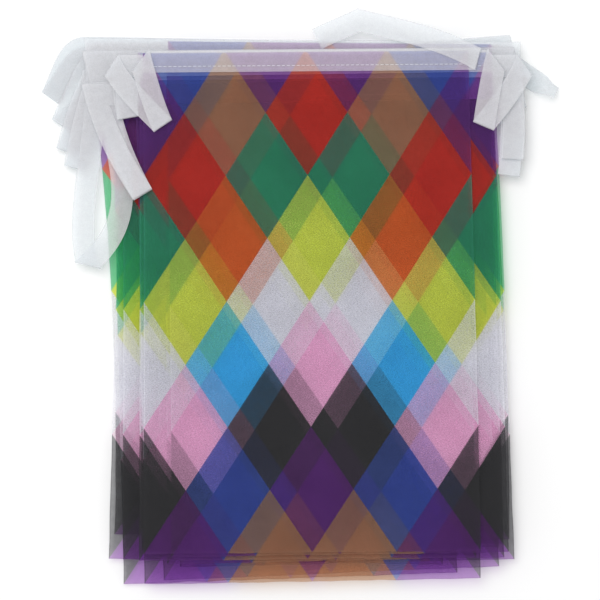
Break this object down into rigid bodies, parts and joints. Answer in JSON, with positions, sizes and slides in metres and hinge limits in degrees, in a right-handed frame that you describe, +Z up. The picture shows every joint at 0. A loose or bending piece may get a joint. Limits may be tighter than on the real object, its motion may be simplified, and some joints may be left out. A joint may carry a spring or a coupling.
{
  "type": "flag bunting",
  "caption": "String of thin rectangular polyester flags on one sheer header tape, folded back and forth into a flat stack with the spare tape in loops at both ends of the header.",
  "frame": {"origin": "middle of the plan, on the surface the stack lies on", "axes": "+Z up from the surface through the stack, +Y from the flags' feet to their header, +X across the flags to the right as seen from above"},
  "size_m": [0.3112, 0.3438, 0.0253],
  "materials": {
    "flag_cloth": "thin plain-weave polyester, sheer in one layer, printed in many colours, hot-cut edges",
    "header_tape": "thin white polyester ribbon, folded in half and stitched, slightly see-through"
  },
  "bodies": {
    "root": {"flag_01": "flag_cloth", "flag_02": "flag_cloth", "flag_03": "flag_cloth", "flag_04": "flag_cloth", "flag_05": "flag_cloth", "flag_06": "flag_cloth", "flag_07": "flag_cloth", "flag_08": "flag_cloth", "flag_09": "flag_cloth", "flag_10": "flag_cloth", "flag_11": "flag_cloth", "flag_12": "flag_cloth", "flag_13": "flag_cloth", "flag_14": "flag_cloth", "flag_15": "flag_cloth", "flag_16": "flag_cloth", "header_tape": "header_tape"}
  },
  "joints": []
}
